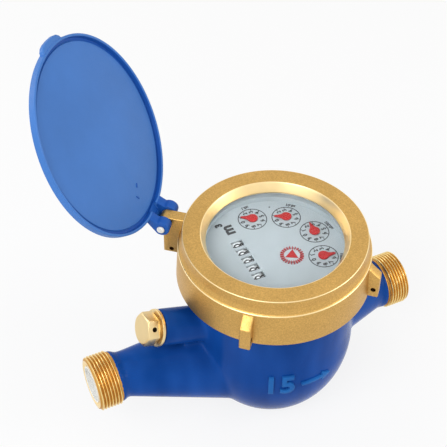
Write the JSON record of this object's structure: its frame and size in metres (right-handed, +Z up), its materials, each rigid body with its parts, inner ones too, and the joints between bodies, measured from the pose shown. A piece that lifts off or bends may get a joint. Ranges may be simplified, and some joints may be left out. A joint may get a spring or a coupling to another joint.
{
  "type": "water meter",
  "caption": "Vane-wheel water meter with screwed pipe ends, a screwed cover ring over a glazed dial, a side plug and a hinged lid standing open.",
  "frame": {"origin": "centre of the flat foot, under the dial's axis", "axes": "+Z up along the dial's axis, +X along the pipe from the inlet (-X) to the outlet (+X)"},
  "size_m": [0.1687, 0.1361, 0.1849],
  "materials": {
    "black_rubber": "plain",
    "blue_paint": "gloss paint on a cast surface",
    "blue_plastic": "smooth moulded",
    "brass": "fine blasted",
    "dial_grey": "printed sheet",
    "glass": "clear",
    "grey_plastic": "moulded",
    "red_plastic": "moulded",
    "stainless_steel": "ground",
    "white_plastic": "moulded"
  },
  "bodies": {
    "meter": {"meter_body": "blue_paint", "inlet_strainer": "white_plastic", "filter_basket": "white_plastic", "jet_chamber": "white_plastic", "pivot_pin": "stainless_steel", "chamber_cover": "white_plastic", "register_case": "white_plastic", "upper_plate": "grey_plastic", "number_shaft": "stainless_steel", "dial_plate": "dial_grey", "glass_gasket": "black_rubber", "glass": "glass", "slip_washer": "brass", "cover_ring": "brass", "hinge_pin": "white_plastic", "regulating_screw": "brass", "plug_washer": "black_rubber", "regulating_plug": "brass"},
    "lid": {"lid": "blue_plastic"},
    "impeller": {"impeller": "white_plastic"},
    "star": {"star_arbor": "grey_plastic", "star_wheel": "red_plastic"},
    "idler_gear_1": {"idler_gear_1": "grey_plastic"},
    "pointer_1": {"pointer_gear_1": "grey_plastic", "pointer_1": "red_plastic"},
    "idler_gear_2": {"idler_gear_2": "grey_plastic"},
    "pointer_2": {"pointer_gear_2": "grey_plastic", "pointer_2": "red_plastic"},
    "idler_gear_3": {"idler_gear_3": "grey_plastic"},
    "pointer_3": {"pointer_gear_3": "grey_plastic", "pointer_3": "red_plastic"},
    "idler_gear_4": {"idler_gear_4": "grey_plastic"},
    "pointer_4": {"pointer_gear_4": "grey_plastic", "pointer_4": "red_plastic"},
    "number_wheel_1": {"number_wheel_1": "white_plastic"},
    "number_wheel_2": {"number_wheel_2": "white_plastic"},
    "number_wheel_3": {"number_wheel_3": "white_plastic"},
    "number_wheel_4": {"number_wheel_4": "white_plastic"},
    "number_wheel_5": {"number_wheel_5": "white_plastic"}
  },
  "joints": [
    {"name": "lid_hinge", "type": "hinge", "parent": "meter", "child": "lid", "pos_m": [-0.03987, 0.03322, 0.0983], "axis": [0.6401, 0.7683, 0], "range_deg": [0, 119.7]},
    {"name": "impeller_spin", "type": "hinge", "parent": "meter", "child": "impeller", "pos_m": [0, 0, 0.01532], "axis": [0, 0, 1], "continuous": true},
    {"name": "star_spin", "type": "hinge", "parent": "meter", "child": "star", "pos_m": [0.0056, -0.0065, 0.0634], "axis": [0, 0, 1], "continuous": true},
    {"name": "idler_gear_1_spin", "type": "hinge", "parent": "meter", "child": "idler_gear_1", "pos_m": [0.01006, -0.01304, 0.0649], "axis": [0, 0, 1], "continuous": true},
    {"name": "pointer_1_spin", "type": "hinge", "parent": "meter", "child": "pointer_1", "pos_m": [0.01863, -0.01261, 0.0664], "axis": [0, 0, 1], "continuous": true},
    {"name": "idler_gear_2_spin", "type": "hinge", "parent": "meter", "child": "idler_gear_2", "pos_m": [0.01832, -0.0047, 0.0679], "axis": [0, 0, 1], "continuous": true},
    {"name": "pointer_2_spin", "type": "hinge", "parent": "meter", "child": "pointer_2", "pos_m": [0.02231, 0.00289, 0.0694], "axis": [0, 0, 1], "continuous": true},
    {"name": "idler_gear_3_spin", "type": "hinge", "parent": "meter", "child": "idler_gear_3", "pos_m": [0.01684, 0.00862, 0.0709], "axis": [0, 0, 1], "continuous": true},
    {"name": "pointer_3_spin", "type": "hinge", "parent": "meter", "child": "pointer_3", "pos_m": [0.0148, 0.01695, 0.0724], "axis": [0, 0, 1], "continuous": true},
    {"name": "idler_gear_4_spin", "type": "hinge", "parent": "meter", "child": "idler_gear_4", "pos_m": [0.0069, 0.01761, 0.0739], "axis": [0, 0, 1], "continuous": true},
    {"name": "pointer_4_spin", "type": "hinge", "parent": "meter", "child": "pointer_4", "pos_m": [-0.00015, 0.0225, 0.0754], "axis": [0, 0, 1], "continuous": true},
    {"name": "number_wheel_1_spin", "type": "hinge", "parent": "meter", "child": "number_wheel_1", "pos_m": [-0.0135, 0.0108, 0.082], "axis": [0, 1, 0], "continuous": true},
    {"name": "number_wheel_2_spin", "type": "hinge", "parent": "meter", "child": "number_wheel_2", "pos_m": [-0.0135, 0.0054, 0.082], "axis": [0, 1, 0], "continuous": true},
    {"name": "number_wheel_3_spin", "type": "hinge", "parent": "meter", "child": "number_wheel_3", "pos_m": [-0.0135, 0, 0.082], "axis": [0, 1, 0], "continuous": true},
    {"name": "number_wheel_4_spin", "type": "hinge", "parent": "meter", "child": "number_wheel_4", "pos_m": [-0.0135, -0.0054, 0.082], "axis": [0, 1, 0], "continuous": true},
    {"name": "number_wheel_5_spin", "type": "hinge", "parent": "meter", "child": "number_wheel_5", "pos_m": [-0.0135, -0.0108, 0.082], "axis": [0, 1, 0], "continuous": true}
  ],
  "couplings": [
    {"joint": "star_spin", "follows": "impeller_spin", "ratio": -0.3},
    {"joint": "idler_gear_1_spin", "follows": "impeller_spin", "ratio": 0.1},
    {"joint": "pointer_1_spin", "follows": "impeller_spin", "ratio": -0.03},
    {"joint": "idler_gear_2_spin", "follows": "impeller_spin", "ratio": 0.01},
    {"joint": "pointer_2_spin", "follows": "impeller_spin", "ratio": -0.003},
    {"joint": "idler_gear_3_spin", "follows": "impeller_spin", "ratio": 0.001},
    {"joint": "pointer_3_spin", "follows": "impeller_spin", "ratio": -0.0003},
    {"joint": "idler_gear_4_spin", "follows": "impeller_spin", "ratio": 0.0001},
    {"joint": "pointer_4_spin", "follows": "impeller_spin", "ratio": -0.00003},
    {"joint": "number_wheel_1_spin", "follows": "impeller_spin", "ratio": 0.000003},
    {"joint": "number_wheel_2_spin", "follows": "impeller_spin", "ratio": 0.0000003},
    {"joint": "number_wheel_3_spin", "follows": "impeller_spin", "ratio": 0.00000003},
    {"joint": "number_wheel_4_spin", "follows": "impeller_spin", "ratio": 0.000000003},
    {"joint": "number_wheel_5_spin", "follows": "impeller_spin", "ratio": 0.0000000003}
  ]
}
